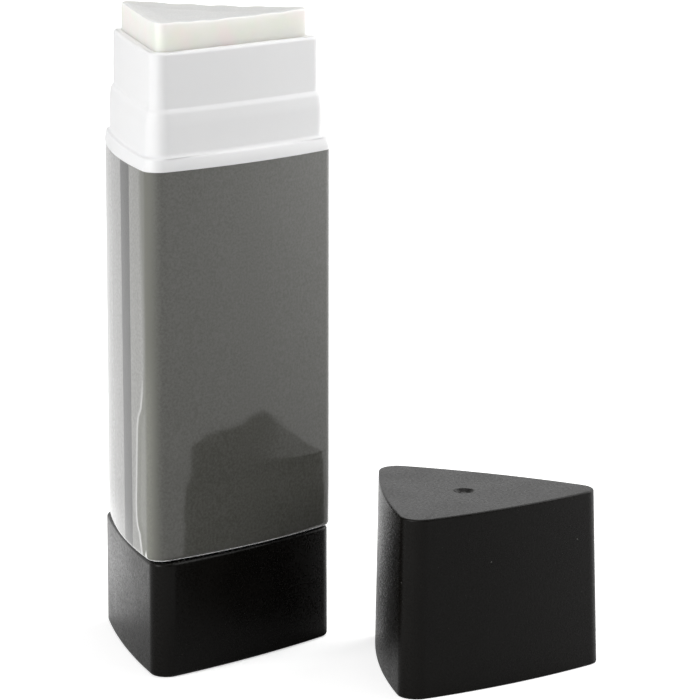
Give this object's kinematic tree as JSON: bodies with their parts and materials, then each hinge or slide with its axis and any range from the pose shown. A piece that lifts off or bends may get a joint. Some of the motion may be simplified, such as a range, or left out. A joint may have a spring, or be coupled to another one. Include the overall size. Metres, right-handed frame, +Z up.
{
  "type": "glue stick",
  "caption": "Three-sided twist-up glue stick with a printed-film barrel, stepped neck, turning knob, lifted glue column and a separate stepped cap standing beside it.",
  "frame": {"origin": "centre of the knob's flat underside, on the stick's own axis, where it stands on the table", "axes": "+Z up the stick's axis; -Y out of the middle of the barrel's printed front side, so +Y points at the corner behind it"},
  "size_m": [0.0428, 0.0538, 0.0753],
  "materials": {
    "white_plastic": "smooth satin moulded polypropylene",
    "natural_plastic": "uncoloured moulded polypropylene",
    "black_plastic": "black moulded plastic, fine grain with a satin sheen",
    "printed_film": "glossy clear film over a warm dark grey print",
    "glue": "waxy translucent off-white glue"
  },
  "bodies": {
    "stick": {"barrel": "white_plastic", "label_film": "printed_film", "inner_tube": "natural_plastic", "bearing_plate": "natural_plastic"},
    "drive": {"knob": "black_plastic", "spindle": "natural_plastic"},
    "lift": {"glue_carrier": "natural_plastic", "glue_column": "glue"},
    "loose_cap": {"cap": "black_plastic"}
  },
  "joints": [
    {"name": "knob_turn", "type": "hinge", "parent": "stick", "child": "drive", "pos_m": [0, 0, 0.015], "axis": [0, 0, 1], "range_deg": [-391.5, 3888]},
    {"name": "glue_lift", "type": "slide", "parent": "stick", "child": "lift", "axis": [0, 0, 1], "range_m": [-0.0044, 0.0433]},
    {"name": "cap_lift", "type": "slide", "parent": "stick", "child": "loose_cap", "axis": [0, 0, 1], "range_m": [0, 0.0193]}
  ],
  "couplings": [
    {"joint": "glue_lift", "follows": "knob_turn", "m_per_rad": 0.00063662}
  ]
}
